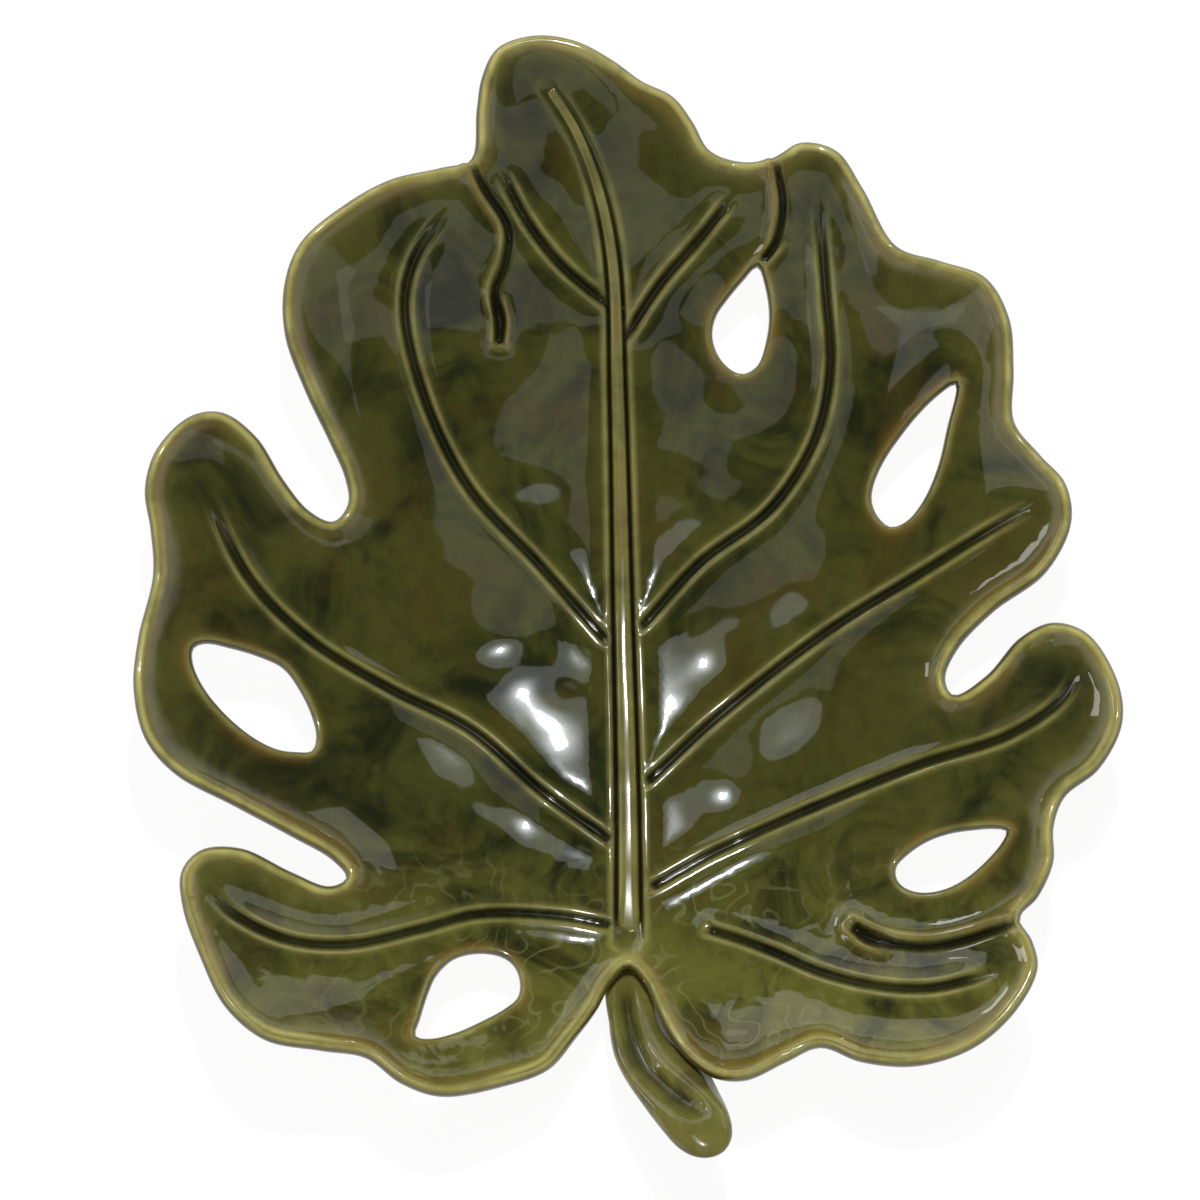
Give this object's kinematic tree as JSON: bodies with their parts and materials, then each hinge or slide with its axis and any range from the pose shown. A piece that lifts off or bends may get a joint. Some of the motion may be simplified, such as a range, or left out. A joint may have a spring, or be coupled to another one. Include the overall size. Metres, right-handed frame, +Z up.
{
  "type": "leaf-shaped bowl",
  "caption": "Glossy green glazed stoneware bowl shaped as a lobed leaf, with pierced leaf holes, grooved side veins, a raised midrib, a channelled stalk and a bare foot ring.",
  "frame": {"origin": "middle of the whole bowl's bounding box in plan, on the table plane under the foot ring", "axes": "+Y from the stalk toward the leaf's apex, +X to the right seen from above, +Z up out of the bowl"},
  "size_m": [0.3006, 0.3462, 0.0671],
  "materials": {
    "green_glaze": "high gloss mottled olive green glaze, darker where it pools",
    "broken_glaze": "high gloss glaze broken to yellow olive and amber on raised edges",
    "bare_clay": "matte buff stoneware, wiped clean of glaze"
  },
  "bodies": {
    "root": {"leaf_blade": "green_glaze", "midrib": "broken_glaze", "stalk": "broken_glaze", "foot_ring": "bare_clay"}
  },
  "joints": []
}
